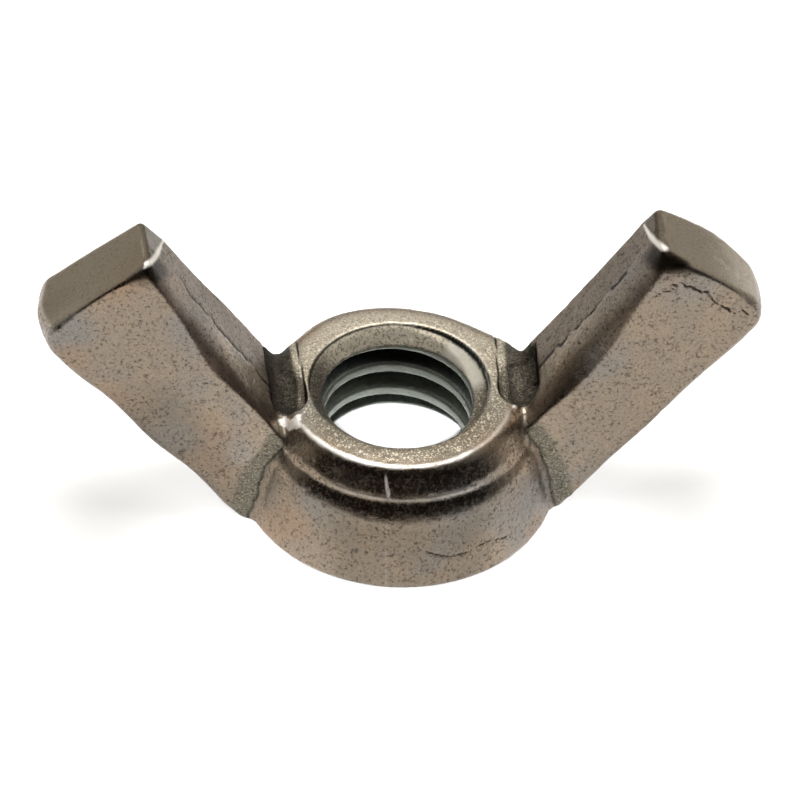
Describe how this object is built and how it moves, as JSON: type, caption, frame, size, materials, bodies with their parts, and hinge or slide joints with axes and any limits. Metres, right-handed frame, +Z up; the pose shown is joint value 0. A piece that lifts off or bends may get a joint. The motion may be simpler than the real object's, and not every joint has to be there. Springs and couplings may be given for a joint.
{
  "type": "wing nut",
  "caption": "Cold-forged steel wing nut: a tapered, collared hub with a threaded through bore and two upswept thumb wings.",
  "frame": {"origin": "centre of the flat seat under the hub, on the thread's axis", "axes": "+Z up the thread's axis from the seat to the wing tips, X along the wings, Y across the die parting plane, which is Y = 0; the pockets beside the collar open towards +Y"},
  "size_m": [0.0314, 0.0144, 0.0142],
  "materials": {
    "zinc_plated_steel": "thin clear zinc electroplate over cold-forged carbon steel: warm grey, finely pitted, burnished on its edges, duller in the bore and in the pockets"
  },
  "bodies": {
    "root": {"wing_nut": "zinc_plated_steel"}
  },
  "joints": []
}
